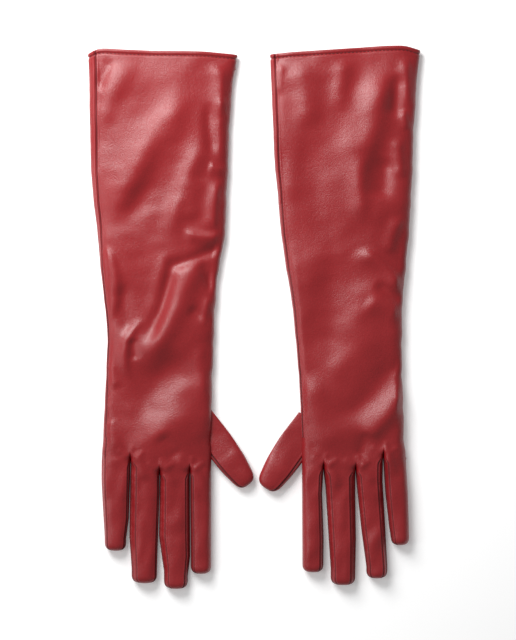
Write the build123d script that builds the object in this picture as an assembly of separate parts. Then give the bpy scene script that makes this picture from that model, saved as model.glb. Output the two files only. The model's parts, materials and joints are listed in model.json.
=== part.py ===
from build123d import *
import os

# A pair of elbow-length gloves, laid side by side with the backs of the hands up.
# Millimetres, +Z up. +Y runs towards the cuffs and the fingers point along -Y. The origin lies
# on the surface they rest on, under the middle of the pair. The right-hand glove is at -X.
#
# Each glove is cut into back and palm panels, with fourchette strips between the fingers, a set-in
# thumb, a turned-in cuff hem held by a row of stitches, and a knitted lining. The glove bends at
# the wrist, the knuckles and the root of the thumb, so each of those stretches is a body of its own.

LEATHER = 0.9  # thickness of the outer skin
LINING_INSET = 1.7  # from the outer face in to the lining's outer face
LINING = 0.5  # thickness of the lining
HAND_HEIGHT = 12.0  # height of the flattened sleeve and hand
FINGER_HEIGHT = 10.0  # height of a flattened finger or thumb
HAND_BEVEL = 3.2  # slope along the sleeve's and hand's long edges
FINGER_BEVEL = 2.4  # slope along a finger's edges
CLEARANCE = 0.4  # air between two bodies at a bend
HEM_WIDTH = 12.0  # leather turned in at the cuff
STITCH_INSET = 3.2  # stitch line below the cuff's edge
STITCH_PITCH = 3.4
STITCH_LENGTH = 2.6
STITCH_WIDTH = 0.6
STITCH_DEPTH = 0.35
SEAM_ALLOWANCE = 5.0  # raw edges turned in beside the side seam
SEAM_THICKNESS = 0.7
LINING_TOP_GAP = 8.0  # the lining starts this far below the cuff's edge
FOURCHETTE_HEIGHT = 5.0
FOURCHETTE_TIP_GAP = 14.0  # a fourchette runs out this far above the fingertip
FOURCHETTE_DEPTH = 1.2  # how far in from the finger's side its cut reaches
BEYOND = 6.0  # how far an outline or a cutting tool runs past the face it ends at
FAR = 300.0  # larger than the pair
NOSE = 0.55  # length of a fingertip's rounding, as a share of the tip's width
NOSE_STEPS = (1.0, 0.86, 0.5)  # half widths along that rounding, down to the flat end
THUMB_HOLE = (-104.0, -76.0)  # lower and upper y of the hole that the thumb is set into
THUMB_HOLE_DEPTH = 4.0
THUMB_BURIED = 40.0  # how far the thumb's line runs back under the hand before it is cut off

HAND_BEND = HAND_HEIGHT / 2 + CLEARANCE
FINGER_BEND = FINGER_HEIGHT / 2 + CLEARANCE

# Edges of each panel, as (y, x at the left edge, x at the right edge), from the cuff downwards.
# Seam insets say how far in from the left edge the side seam lies, at the cuff and at the wrist.
# A finger is (x at the root, x at the tip, root width, tip width, y of the hinge, y of the tip,
# sides that carry a fourchette). A thumb is (x, y on its line, turn in degrees, root width,
# tip width, length past that point).
GLOVES = {
    "right": {
        "sleeve": [
            (213.4, -132.8, -12.8),
            (178.0, -131.4, -18.2),
            (120.0, -130.4, -21.2),
            (60.0, -124.4, -24.6),
            (15.0, -119.4, -31.0),
        ],
        "seam_insets": (6.0, 2.2),
        "wrist": (-27.6, -117.4, -32.4),
        "hand": [(-62.0, -119.0, -34.0), (-88.0, -120.0, -34.0), (-114.0, -121.0, -34.0)],
        "fingers": {
            "little": (-109.7, -110.8, 21.0, 15.0, -110.0, -185.6, (1,)),
            "ring": (-86.5, -87.5, 22.4, 17.0, -117.0, -211.5, (-1, 1)),
            "middle": (-62.6, -60.8, 22.4, 17.5, -118.5, -216.0, (-1, 1)),
            "index": (-42.5, -42.0, 16.6, 13.2, -117.0, -204.0, (-1,)),
        },
        "thumb": (-23.0, -107.7, 36.0, 24.0, 17.5, 30.5),
        "thumb_side": 1,
    },
    "left": {
        "sleeve": [
            (216.0, 12.8, 132.8),
            (178.0, 14.6, 128.6),
            (120.0, 17.2, 126.0),
            (60.0, 23.2, 122.6),
            (15.0, 30.0, 118.0),
        ],
        "seam_insets": (4.2, 2.0),
        "wrist": (-27.6, 34.4, 117.4),
        "hand": [(-62.0, 36.8, 118.8), (-88.0, 37.4, 119.4), (-114.0, 38.0, 121.0)],
        "fingers": {
            "index": (46.5, 47.5, 16.0, 13.4, -116.0, -202.8, (1,)),
            "middle": (68.6, 71.6, 22.6, 17.4, -117.0, -213.0, (-1, 1)),
            "ring": (93.8, 98.4, 21.6, 16.0, -115.0, -207.6, (-1, 1)),
            "little": (114.4, 116.2, 16.6, 13.6, -106.0, -181.1, (-1,)),
        },
        "thumb": (25.8, -111.1, -33.7, 26.0, 20.0, 29.0),
        "thumb_side": -1,
    },
}


def box(low, high):
    """A box between two corners."""
    size = [b - a for a, b in zip(low, high)]
    middle = [(a + b) / 2 for a, b in zip(low, high)]
    return Pos(*middle) * Box(*size)


def slab(points, low, high):
    """A flat prism over an outline."""
    return Pos(0, 0, low) * extrude(make_face(Polyline(*points, close=True)), high - low)


def layer(points, inset, height, bevel):
    """The solid inside an outline, drawn in by inset on every side, with its long edges bevelled."""
    face = make_face(Polyline(*points, close=True))
    if inset:
        face = offset(face, -inset, kind=Kind.INTERSECTION)
    block = Pos(0, 0, inset) * extrude(face, height - 2 * inset)
    slope = bevel - inset * (2 - 2**0.5)
    rims = block.edges().filter_by_position(Axis.Z, inset - 0.01, inset + 0.01)
    rims += block.edges().filter_by_position(Axis.Z, height - inset - 0.01, height - inset + 0.01)
    return chamfer(rims, slope)


def layers(points, height, bevel, trim):
    """Leather shell, hem thickness and lining, nested in each other, cut off at the open ends."""
    outer, inside, hem_face, knit_face = [
        layer(points, inset, height, bevel)
        for inset in (0, LEATHER, LINING_INSET, LINING_INSET + LINING)
    ]
    return (outer - inside) & trim, (inside - hem_face) & trim, (hem_face - knit_face) & trim


def outline(edges):
    """The closed outline of a stretch, run past both of its ends, from its (y, left, right) edges."""
    (top, *first), (bottom, *last) = edges[0], edges[-1]
    longer = [(top + BEYOND, *first)] + edges[1:-1] + [(bottom - BEYOND, *last)]
    return [(left, y) for y, left, _ in longer] + [(right, y) for y, _, right in reversed(longer)]


def save(part, name):
    """Write one node."""
    export_step(part, f"parts/{name}.step")


def stitch_row(left, right, y, low):
    """A straight row of stitches, each one a small bar, between two x positions."""
    count = int((right - left) / STITCH_PITCH)
    first = (left + right - (count - 1) * STITCH_PITCH) / 2
    return [
        Pos(first + i * STITCH_PITCH, y, low + STITCH_DEPTH / 2)
        * Box(STITCH_LENGTH, STITCH_WIDTH, STITCH_DEPTH)
        for i in range(count)
    ]


def make_sleeve(side, glove):
    """Back panel, palm panel, lining, turned-in hem, its stitches and the side seam's raw edges."""
    wrist_y, wrist_left, wrist_right = glove["wrist"]
    edges = glove["sleeve"] + [(wrist_y + HAND_BEND, wrist_left, wrist_right)]
    top, bottom = edges[0][0], edges[-1][0]
    trim = box((-FAR, bottom, -BEYOND), (FAR, top, HAND_HEIGHT + BEYOND))
    leather, hem, lining = layers(outline(edges), HAND_HEIGHT, HAND_BEVEL, trim)

    # The side seam has rolled on to the top, in from the left edge, and runs down to the wrist.
    inset_cuff, inset_wrist = glove["seam_insets"]
    grow = (inset_cuff - inset_wrist) / (top - bottom)
    seam = [(left + HAND_BEVEL + inset_wrist + grow * (y - bottom), y) for y, left, _ in edges]
    seam = [(seam[0][0], top + BEYOND)] + seam[1:-1] + [(seam[-1][0], bottom - BEYOND)]
    back_tool = slab(seam + [(FAR, bottom - BEYOND), (FAR, top + BEYOND)],
                     HAND_HEIGHT / 2, HAND_HEIGHT + BEYOND)
    strip = seam + [(x + SEAM_ALLOWANCE, y) for x, y in reversed(seam)]
    under = HAND_HEIGHT - LEATHER
    allowance = slab(strip, under - SEAM_THICKNESS, under)
    allowance &= box((-FAR, bottom, 0), (FAR, top - HEM_WIDTH, HAND_HEIGHT))

    # The thread presses a shallow groove into both faces of the cuff.
    stitch_y = top - STITCH_INSET
    left, right = edges[0][1] + 2 * HAND_BEVEL, edges[0][2] - 2 * HAND_BEVEL
    stitches = []
    for low in (0.0, HAND_HEIGHT - STITCH_DEPTH):
        leather -= box((left, stitch_y - STITCH_WIDTH, low),
                       (right, stitch_y + STITCH_WIDTH, low + STITCH_DEPTH))
        stitches += stitch_row(left, right, stitch_y, low)

    save(leather & back_tool, f"{side}_sleeve_back")
    save(leather - back_tool, f"{side}_sleeve_palm")
    save(lining & box((-FAR, bottom, 0), (FAR, top - LINING_TOP_GAP, HAND_HEIGHT)), f"{side}_sleeve_lining")
    save(hem & box((-FAR, top - HEM_WIDTH, 0), (FAR, top, HAND_HEIGHT)), f"{side}_cuff_hem")
    save(Compound(children=stitches), f"{side}_cuff_stitches")
    save(allowance, f"{side}_side_seam_allowance")


def make_hand(side, glove):
    """Back panel, palm panel with its thumb hole, and lining, cut back at each knuckle."""
    edges = [glove["wrist"]] + glove["hand"]
    trim = box((-FAR, edges[-1][0], -BEYOND), (FAR, edges[0][0], HAND_HEIGHT + BEYOND))
    leather, _, lining = layers(outline(edges), HAND_HEIGHT, HAND_BEVEL, trim)
    fingers = sorted(glove["fingers"].values())
    cuts = []
    for i, (x, _, width, _, hinge, _, _) in enumerate(fingers):
        left, right = x - width, x + width
        if i:
            left = (fingers[i - 1][0] + fingers[i - 1][2] / 2 + x - width / 2) / 2
        if i + 1 < len(fingers):
            right = (x + width / 2 + fingers[i + 1][0] - fingers[i + 1][2] / 2) / 2
        cuts.append(box((left, edges[-1][0] - BEYOND, -BEYOND),
                        (right, hinge + FINGER_BEND, HAND_HEIGHT + BEYOND)))
    thumb_edge = edges[-1][2] if glove["thumb_side"] > 0 else edges[-1][1]
    cuts.append(box((thumb_edge - THUMB_HOLE_DEPTH, THUMB_HOLE[0], HAND_BEVEL),
                    (thumb_edge + THUMB_HOLE_DEPTH, THUMB_HOLE[1], HAND_HEIGHT - HAND_BEVEL)))
    for cut in cuts:
        leather -= cut
        lining -= cut
    upper = box((-FAR, -FAR, HAND_HEIGHT / 2), (FAR, FAR, HAND_HEIGHT + BEYOND))
    save(leather & upper, f"{side}_hand_back")
    save(leather - upper, f"{side}_hand_palm")
    save(lining, f"{side}_hand_lining")


def finger_outline(x_root, x_tip, root_width, tip_width, root, tip):
    """A finger tapers evenly, then its tip closes in steps along an ellipse."""
    nose = tip_width * NOSE
    right = [(x_root + root_width / 2, root + BEYOND)]
    for across in NOSE_STEPS:
        reach = nose * (1 - across**2) ** 0.5
        flat = nose * (1 - NOSE_STEPS[-1] ** 2) ** 0.5
        right.append((x_tip + across * tip_width / 2, tip + flat - reach))
    middle = [2 * x_tip - x for x, _ in right]
    middle[0] = x_root - root_width / 2
    return [(x, y) for x, (_, y) in zip(middle, right)] + right[::-1]


def make_finger(side, name, finger):
    """Back strip, palm strip, fourchettes and lining of one finger."""
    x_root, x_tip, root_width, tip_width, hinge, tip, sewn_sides = finger
    points = finger_outline(x_root, x_tip, root_width, tip_width, hinge, tip)
    trim = box((-FAR, -FAR, -BEYOND), (FAR, hinge, FINGER_HEIGHT + BEYOND))
    leather, _, lining = layers(points, FINGER_HEIGHT, FINGER_BEVEL, trim)
    low = (FINGER_HEIGHT - FOURCHETTE_HEIGHT) / 2
    nose = tip_width * NOSE
    (x_low, y_low), (x_high, y_high) = (x_tip, tip + nose), (x_root, hinge + BEYOND)
    share = (tip + FOURCHETTE_TIP_GAP - y_low) / (y_high - y_low)
    ends = [(x_high, y_high, root_width / 2),
            (x_low + (x_high - x_low) * share, tip + FOURCHETTE_TIP_GAP,
             tip_width / 2 + (root_width - tip_width) / 2 * share)]
    strips = []
    for sign in sewn_sides:
        inner = [(x + sign * (half - FOURCHETTE_DEPTH), y) for x, y, half in ends]
        outer = [(x + sign * (half + FOURCHETTE_DEPTH), y) for x, y, half in reversed(ends)]
        tool = slab(inner + outer, low, FINGER_HEIGHT - low)
        strips += (leather & tool).solids()
        leather -= tool
    upper = box((-FAR, -FAR, FINGER_HEIGHT / 2), (FAR, FAR, FINGER_HEIGHT + BEYOND))
    save(leather & upper, f"{side}_{name}_back")
    save(leather - upper, f"{side}_{name}_palm")
    save(Compound(children=strips), f"{side}_{name}_fourchettes")
    save(lining, f"{side}_{name}_lining")


def make_thumb(side, glove):
    """Outer and inner half of the set-in thumb, and its lining, from the edge of the hand out."""
    x, y, turn, root_width, tip_width, length = glove["thumb"]
    points = finger_outline(0, 0, root_width, tip_width, THUMB_BURIED, -length)
    leather, _, lining = layers(points, FINGER_HEIGHT, FINGER_BEVEL, box((-FAR, -FAR, -1), (FAR, FAR, 20)))
    place = Pos(x, y, 0) * Rot(0, 0, turn)
    sign = glove["thumb_side"]
    root = (glove["hand"][-1][2] if sign > 0 else glove["hand"][-1][1]) + sign * FINGER_BEND
    outside = box((min(root, sign * FAR), -FAR, -BEYOND), (max(root, sign * FAR), 0, FINGER_HEIGHT + BEYOND))
    leather = (place * leather) & outside
    upper = box((-FAR, -FAR, FINGER_HEIGHT / 2), (FAR, FAR, FINGER_HEIGHT + BEYOND))
    save(leather & upper, f"{side}_thumb_outer")
    save(leather - upper, f"{side}_thumb_inner")
    save((place * lining) & outside, f"{side}_thumb_lining")


os.makedirs("parts", exist_ok=True)
for side, glove in GLOVES.items():
    make_sleeve(side, glove)
    make_hand(side, glove)
    for name, finger in glove["fingers"].items():
        make_finger(side, name, finger)
    make_thumb(side, glove)
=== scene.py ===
# %% [markdown]
# # A pair of opera gloves
#
# Two elbow-length gloves in thin coated leather lie palm down, side by side. The packed frame says
# where each body, hinge and panel is. Everything you see is made here as sheets worked out with
# numpy, because a soft leather tube is easiest to say as a formula: an outline seen from above,
# and a rounded section that stands on it.

# %% Load the frame
import json
import math

import bmesh
import bpy
import numpy as np
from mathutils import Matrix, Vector


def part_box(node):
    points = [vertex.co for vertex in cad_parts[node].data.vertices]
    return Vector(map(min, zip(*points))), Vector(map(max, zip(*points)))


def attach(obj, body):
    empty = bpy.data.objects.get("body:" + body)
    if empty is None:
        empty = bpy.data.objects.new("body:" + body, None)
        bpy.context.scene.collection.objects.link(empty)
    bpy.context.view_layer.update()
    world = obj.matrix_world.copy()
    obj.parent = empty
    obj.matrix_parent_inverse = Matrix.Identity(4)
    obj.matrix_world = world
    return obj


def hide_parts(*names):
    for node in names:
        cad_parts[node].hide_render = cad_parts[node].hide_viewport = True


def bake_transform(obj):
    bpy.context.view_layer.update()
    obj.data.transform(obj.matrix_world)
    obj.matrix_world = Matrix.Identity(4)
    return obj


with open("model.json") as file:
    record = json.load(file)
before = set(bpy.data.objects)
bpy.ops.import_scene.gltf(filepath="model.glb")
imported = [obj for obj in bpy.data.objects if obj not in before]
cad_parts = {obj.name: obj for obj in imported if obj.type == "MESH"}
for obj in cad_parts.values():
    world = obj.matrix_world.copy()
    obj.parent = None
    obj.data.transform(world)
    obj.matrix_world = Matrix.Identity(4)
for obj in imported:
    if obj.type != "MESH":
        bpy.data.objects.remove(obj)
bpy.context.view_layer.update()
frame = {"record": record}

MM = 0.001  # one millimetre in the frame's metres
CREASE_ANGLE = math.radians(55)  # a sharper corner than this keeps its edge when shaded
SAME_PLACE = 0.004  # points nearer than this, in millimetres, become one
JOINTS = {joint["name"]: joint for joint in frame["record"]["behaviour"]["joints"]}

# %% [markdown]
# ## Small tools
#
# A few helpers carry the whole scene: a smooth step, and a line drawn through a handful of
# given points. A line with straight stretches and rounded corners is enough for a glove's
# outline, and its points can be read and moved one at a time.


# %% Steps and outlines
def smooth(t):
    """Zero below 0, one above 1, and 3t^2 - 2t^3 between."""
    t = np.clip(t, 0.0, 1.0)
    return t * t * (3 - 2 * t)


def line(points, at, soften=0.0):
    """The value at each place along a line through (place, value) points, rounded off by soften."""
    places, values = (np.array(v, float) for v in zip(*sorted(points)))
    if not soften:
        return np.interp(at, places, values)
    samples, reach = 5, 15  # samples to one soften, and the kernel's half width in samples
    fine = np.arange(places[0] - 4 * soften, places[-1] + 4 * soften, soften / samples)
    kernel = np.exp(-0.5 * (np.arange(-reach, reach + 1) / samples) ** 2)
    raw = np.interp(fine, places, values)
    soft = np.convolve(np.pad(raw, reach, mode="edge"), kernel / kernel.sum(), mode="valid")
    return np.interp(at, fine, soft)


def joint_place(name):
    """Where a hinge is, in millimetres."""
    return np.array(JOINTS[name]["pos_m"]) / MM


print("right wrist bends about", joint_place("right_wrist_bend").round(1), "mm")

# %% [markdown]
# ## From a grid of points to a mesh
#
# Every panel is a sheet: a grid of points with a face in each gap. Rows run down the glove and
# columns run round it. Points that fall together at a fingertip are merged, so the tip is closed,
# and a Solidify modifier gives the sheet the thickness of leather.


# %% Meshes from grids
def grid_faces(rows, columns, wrap=False):
    """Corner numbers of the quads of a grid whose points are counted along its rows."""
    last = columns if wrap else columns - 1
    i, j = np.meshgrid(np.arange(rows - 1), np.arange(last), indexing="ij")
    k = (j + 1) % columns
    here, below = i * columns, (i + 1) * columns
    return np.stack([here + j, below + j, below + k, here + k], -1)


def make_piece(name, points, material, wrap=False, thickness=0.0, rub=None):
    """A mesh from a grid of points in millimetres; a thickness turns the sheet into a closed wall.

    The last argument says how worn each point is; below zero it is painted shade, in a seam groove or
    between fingers.
    """
    rows, columns = points.shape[:2]
    faces = grid_faces(rows, columns, wrap).reshape(-1, 4)
    mesh = bpy.data.meshes.new(name)
    mesh.from_pydata((points.reshape(-1, 3) * MM).tolist(), [], faces.tolist())
    # one attribute: wear above zero, painted shade below zero
    wear_and_shade_marks = mesh.attributes.new("rub", "FLOAT", "POINT")
    values = np.zeros(rows * columns) if rub is None else rub.reshape(-1)
    wear_and_shade_marks.data.foreach_set("value", values.astype(np.float32))
    merged = bmesh.new()
    merged.from_mesh(mesh)
    bmesh.ops.remove_doubles(merged, verts=merged.verts, dist=SAME_PLACE * MM)
    for edge in merged.edges:
        edge.smooth = not edge.is_boundary and edge.calc_face_angle(0.0) < CREASE_ANGLE
    for face in merged.faces:
        face.smooth = True
    merged.to_mesh(mesh)
    merged.free()
    mesh.materials.append(material)
    piece = bpy.data.objects.new(name, mesh)
    bpy.context.scene.collection.objects.link(piece)
    if thickness:
        wall = piece.modifiers.new("wall", "SOLIDIFY")
        wall.thickness = thickness * MM
        wall.offset = -1
    return piece


print("a grid of 3 by 4 points has", grid_faces(3, 4).reshape(-1, 4).shape[0], "faces")

# %% [markdown]
# ## Shader arithmetic
#
# Grain, sheen and wear are sums and products of a few textures. Wrapping a socket in a class with
# overloaded operators lets the material be written as an expression.


# %% Sockets that do sums
class Wire:
    """An output of a node tree that Python arithmetic works on."""

    def __init__(self, board, socket):
        self.board, self.socket = board, socket

    def _sum(self, operation, first, second):
        """A Math node on two values or wires."""
        return self.board.node("Math", {"operation": operation}, {0: first, 1: second})

    def __add__(self, other):
        return self._sum("ADD", self, other)

    def __radd__(self, other):
        return self._sum("ADD", other, self)

    def __sub__(self, other):
        return self._sum("SUBTRACT", self, other)

    def __rsub__(self, other):
        return self._sum("SUBTRACT", other, self)

    def __mul__(self, other):
        return self._sum("MULTIPLY", self, other)

    def __rmul__(self, other):
        return self._sum("MULTIPLY", other, self)


print("sockets understand + - *")


# %% One material's node tree
class Board:
    """A material, and short ways to add nodes to its tree."""

    def __init__(self, name):
        self.material = bpy.data.materials.new(name)
        self.material.use_nodes = True
        self.tree = self.material.node_tree
        self.shader = self.tree.nodes["Principled BSDF"]

    def node(self, kind, settings=None, inputs=None, output=0):
        """A new node: its settings first, then the values or wires of its sockets."""
        made = self.tree.nodes.new("ShaderNode" + kind)
        for key, value in (settings or {}).items():
            setattr(made, key, value)
        for key, value in (inputs or {}).items():
            self.plug(made.inputs[key], value)
        return Wire(self, made.outputs[output])

    def plug(self, socket, value):
        """Set a socket, or lead a wire to it."""
        if isinstance(value, Wire):
            self.tree.links.new(value.socket, socket)
        else:
            socket.default_value = value

    def finish(self, **values):
        """Set the main shader's sockets, named with underscores for spaces."""
        for key, value in values.items():
            self.plug(self.shader.inputs[key.replace("_", " ")], value)
        return self.material

    def place(self):
        """Object coordinates, in metres."""
        return self.node("TexCoord", output="Object")

    def noise(self, scale, detail, roughness=0.5):
        """Soft noise, with scale cells to a metre."""
        sockets = {"Vector": self.place(), "Scale": scale, "Detail": detail, "Roughness": roughness}
        return self.node("TexNoise", None, sockets)

    def bands(self, direction, scale, distortion, detail=2.0):
        """Soft bands across a direction."""
        settings = {"wave_type": "BANDS", "bands_direction": direction}
        sockets = {"Vector": self.place(), "Scale": scale, "Distortion": distortion, "Detail": detail}
        return self.node("TexWave", settings, sockets)

    def bump(self, height, strength, distance):
        """A normal that follows a height, with distance in metres."""
        return self.node("Bump", None, {"Strength": strength, "Distance": distance, "Height": height})

    def blend(self, share, first, second):
        """A colour between two others."""
        return self.node("Mix", {"data_type": "RGBA"}, {0: share, 6: first, 7: second}, output=2)

    def remap(self, value, low, high):
        """A value from 0 to 1 over the stretch from low to high."""
        return self.node("MapRange", {"clamp": True}, {0: value, 1: low, 2: high, 3: 0.0, 4: 1.0})


print("boards can add", [name for name in vars(Board) if not name.startswith("_")])

# %% [markdown]
# ## Coated leather
#
# The skin is a thin polyurethane coat on a knitted back: satin, faintly grained, deep red. A cell
# pattern well under a millimetre wide makes the grain, a softer noise makes the coat's unevenness,
# and broad noise lets the red drift a little. The coat is rubbed brighter along seams and folds,
# and painted shade darkens it in the seam grooves and on the sides between the fingers. The pieces
# mark both in one attribute: wear above zero, painted shade below.


# %% Leather
DEEP_RED = (0.198, 0.0056, 0.0080, 1)
LIGHT_RED = (0.272, 0.0100, 0.0130, 1)
RUBBED_RED = (0.32, 0.027, 0.033, 1)
# painted shade: the colour that seam grooves and the sides between fingers are darkened towards
PAINTED_SHADE_RED = (0.055, 0.002, 0.0035, 1)


def leather_material():
    """Red coat: tone and flecks of colour, wear and painted shade from one attribute, and grain as a bump.
    """
    board = Board("red_leather")
    cell_settings = {"Vector": board.place(), "Scale": 1500.0, "Randomness": 1.0}
    cells = board.node("TexVoronoi", {"feature": "F1"}, cell_settings)
    pores = board.noise(1150.0, 2.0, 0.6)
    coat = board.noise(380.0, 3.0, 0.55)
    drift = board.noise(16.0, 4.0, 0.55)
    rub = board.node("Attribute", {"attribute_name": "rub"}, output="Fac")
    tone = board.remap(drift, 0.32, 0.68)
    fleck = board.remap(pores, 0.38, 0.66)
    bright = board.remap(rub, 0.0, 1.0)
    # below zero the attribute is painted shade, in seam grooves and on the sides between fingers
    painted_shade = board.remap(rub, 0.0, -1.0)
    colour = board.blend(tone * 0.45 + fleck * 0.55, DEEP_RED, LIGHT_RED)
    colour = board.blend(bright * 0.4, colour, RUBBED_RED)
    colour = board.blend(painted_shade * 0.8, colour, PAINTED_SHADE_RED)
    grain = board.bump(cells * 0.5 + pores * 1.3 + coat * 0.9, 0.45, 0.0003)
    rough = 0.37 + 0.12 * (coat - 0.5) + 0.05 * (tone - 0.5) - 0.04 * rub + 0.45 * painted_shade
    return board.finish(Base_Color=colour, Roughness=rough, Normal=grain, IOR=1.5, Specular_IOR_Level=0.5)


LEATHER = leather_material()
print("material", LEATHER.name, "with", len(LEATHER.node_tree.nodes), "nodes")

# %% [markdown]
# ## Knit and thread
#
# The lining is a fine jersey, seen only in the mouth of the cuff. Two sets of bands across each
# other give its ribs and loops. The hem's stitches are darker red thread, whose two plies are bands
# on the slant. Both are dull, so the leather's sheen stays the brightest thing.


# %% Knit and thread
def knit_material():
    """Lining: fine ribs of knit across and along the glove."""
    board = Board("red_knit")
    weave = board.bands("X", 260.0, 1.5, 1.0) * 0.6 + board.bands("Y", 340.0, 2.0, 1.0) * 0.4
    fluff = board.noise(900.0, 3.0)
    colour = board.blend(weave * 0.6 + fluff * 0.3, (0.055, 0.006, 0.009, 1), (0.15, 0.017, 0.022, 1))
    ribs = board.bump(weave + fluff * 0.4, 0.6, 0.0003)
    return board.finish(Base_Color=colour, Roughness=0.85, Normal=ribs)


def thread_material():
    """Sewing thread: two plies that turn round each other."""
    board = Board("red_thread")
    plies = board.bands("DIAGONAL", 900.0, 0.5)
    colour = board.blend(plies, (0.045, 0.003, 0.005, 1), (0.11, 0.007, 0.010, 1))
    return board.finish(Base_Color=colour, Roughness=0.5, Normal=board.bump(plies, 0.5, 0.0002))


KNIT, THREAD = knit_material(), thread_material()
print("materials", KNIT.name, THREAD.name)

# %% [markdown]
# ## The outlines
#
# Seen from above, a glove is a left edge and a right edge, each a line through a few points in
# millimetres. Below the crotches each finger has its own two edges. Neighbours share one edge
# above the crotch between them, so the back of the hand runs on into the fingers without a break.
#
# An edge or a seam is a list of (y, x) points. The cuff is a list of (x, y) points. A finger's
# seams are shares of its width, from its left edge to its right, on the back and on the underside.
# The two gloves are not mirror images: each was sewn and laid down by hand.

# %% Outline points in millimetres
KNUCKLE = -95.0  # the finger pieces begin here
GLOVES = {
    "right": {
        "left_edge": [(214, -132.6), (197, -131.6), (160, -131.2), (120, -130.2), (95, -128.4), (70, -125),
                      (44, -123), (18, -119.8), (-14, -116.6), (-45, -118), (-80, -119.6), (-112, -121.4),
                      (-128, -121.8), (-150, -120.6), (-176, -119.0)],
        "right_edge": [(214, -12.8), (206, -14.4), (190, -17.0), (160, -19.2), (120, -20.8), (70, -23),
                       (56, -24.6), (44, -27.4), (30, -29.8), (4, -31.4), (-28, -32.6), (-62, -33.8),
                       (-95, -34), (-190, -34.2)],
        "cuff": [(-133, 209.2), (-129, 212.6), (-121, 214.4), (-108, 213.4), (-80, 212.2), (-40, 211.6),
                 (-12.8, 209.4)],
        "seam": [(214, 6.2), (140, 5.6), (80, 4.2), (30, 1.6), (-30, 1.4), (-60, 2.0), (-120, 2.8)],
        "order": ["little", "ring", "middle", "index"],
        "crotches": [(-98.4, -114.0), (-75.2, -124.0), (-51.0, -123.0)],
        "fingers": {
            "little": {"left": None, "right": [(-128, -98.8), (-160, -99.8), (-176, -102)],
                       "seams": (0.13, 0.93), "floor_seams": (0.06, 0.88)},
            "ring": {"left": [(-128, -98.7), (-174, -99.4), (-200, -97.6)],
                     "right": [(-140, -75.3), (-174, -76.5), (-202, -77.4)],
                     "seams": (0.21, 0.95), "floor_seams": (0.16, 0.9)},
            "middle": {"left": [(-140, -75.2), (-174, -75.8), (-202, -71.8)],
                       "right": [(-140, -51.1), (-190, -50.9), (-206, -52.8)],
                       "seams": (0.19, 0.885), "floor_seams": (0.16, 0.88)},
            "index": {"left": [(-140, -50.9), (-190, -50.4)], "right": None,
                      "seams": (0.15, 0.97), "floor_seams": (0.12, 0.9)},
        },
        "thumb": {"axis": (-46.5, -75.3), "turn": 36.0, "length": 71.5,
                  "widths": [(0, 22), (30, 24.5), (52, 22.5), (66, 17.5), (72, 15)]},
    },
    "left": {
        "left_edge": [(216, 12.8), (197, 13.4), (177, 14.2), (126, 16.2), (100, 18.8), (75, 20.8),
                      (44, 24.8), (17, 29.8), (-28, 34.4), (-65, 37), (-112, 38.2), (-190, 38.6)],
        "right_edge": [(216, 132.8), (206, 131.4), (190, 129.8), (150, 127.4), (100, 125.6), (56, 122.6),
                       (44, 121.4), (30, 120.0), (17, 118.2), (4, 118.4), (-28, 117.6), (-65, 118.8),
                       (-95, 119.6), (-112, 121), (-140, 122.8), (-176, 123.8)],
        "cuff": [(12.8, 209.8), (30, 211.2), (60, 213), (85, 214.8), (102, 216), (120, 216.4), (133, 213)],
        "seam": [(216, 3.8), (140, 3.6), (60, 2.4), (-50, 1.4), (-120, 1.2)],
        "order": ["index", "middle", "ring", "little"],
        "crotches": [(55.4, -120.0), (81.0, -121.6), (103.0, -111.0)],
        "fingers": {
            "index": {"left": None, "right": [(-140, 54.4), (-176, 55.6), (-194, 55.4)],
                      "seams": (0.03, 0.85), "floor_seams": (0.1, 0.88)},
            "middle": {"left": [(-135, 57.0), (-176, 59.6), (-200, 61.2)],
                       "right": [(-140, 80.8), (-176, 81.4), (-204, 80.8)],
                       "seams": (0.17, 0.82), "floor_seams": (0.12, 0.88)},
            "ring": {"left": [(-140, 82.6), (-170, 85.8), (-198, 89.6)],
                     "right": [(-130, 102.6), (-160, 104.4), (-198, 106.4)],
                     "seams": (0.17, 0.82), "floor_seams": (0.12, 0.88)},
            "little": {"left": [(-140, 104.8), (-165, 107.6), (-176, 109.2)], "right": None,
                       "seams": (0.19, 0.97), "floor_seams": (0.12, 0.94)},
        },
        "thumb": {"axis": (45.5, -81.4), "turn": -33.7, "length": 65.5,
                  "widths": [(0, 23), (25, 26.5), (46, 24.5), (60, 19.5), (66, 17)]},
    },
}
for side, glove in GLOVES.items():
    points = len(glove["left_edge"]) + len(glove["right_edge"])
    print(side, "glove: fingers", glove["order"], "and", points, "points along its two edges")

# %% [markdown]
# ## Folds
#
# Leather lying slack folds in long soft ridges and hollows. Each is one line of numbers: where it
# starts and ends, how wide and high it is, and how much it bows. The section of a fold is a bell
# curve, narrower on one side where the leather turns over sharply. A few slow waves in seeded
# directions fill in between, so no stretch is dead flat. Cloth simulation could do this too, but
# it can't be told where a fold should lie.


# %% Folds and slow waves
FADE = 0.3  # share of a fold's length over which each end dies away
WAVE_ANGLE, WAVE_SPREAD = 2.35, 0.75  # radians: the slack runs mostly along this slant


def fold(x, y, start, end, width, height, bow=0.0, lean=1.0):
    """A ridge with a bell-shaped section along a bowed line, fading out at both ends.

    Height is height * exp(-(distance / width)^2), where distance is measured from the line, and the
    line's middle is pushed aside by bow along a parabola. Lean above 1 makes the side to the right
    of the direction of travel that much wider.
    """
    along_x, along_y = end[0] - start[0], end[1] - start[1]
    length = math.hypot(along_x, along_y)
    t = ((x - start[0]) * along_x + (y - start[1]) * along_y) / length**2
    across = ((x - start[0]) * along_y - (y - start[1]) * along_x) / length
    across = across - bow * 4 * np.clip(t, 0, 1) * (1 - np.clip(t, 0, 1))
    reach = width * np.where(across > 0, lean, 1.0)
    fade = smooth(t / FADE + 0.15) * smooth((1 - t) / FADE + 0.15)
    return height * np.exp(-((across / reach) ** 2)) * fade


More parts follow.
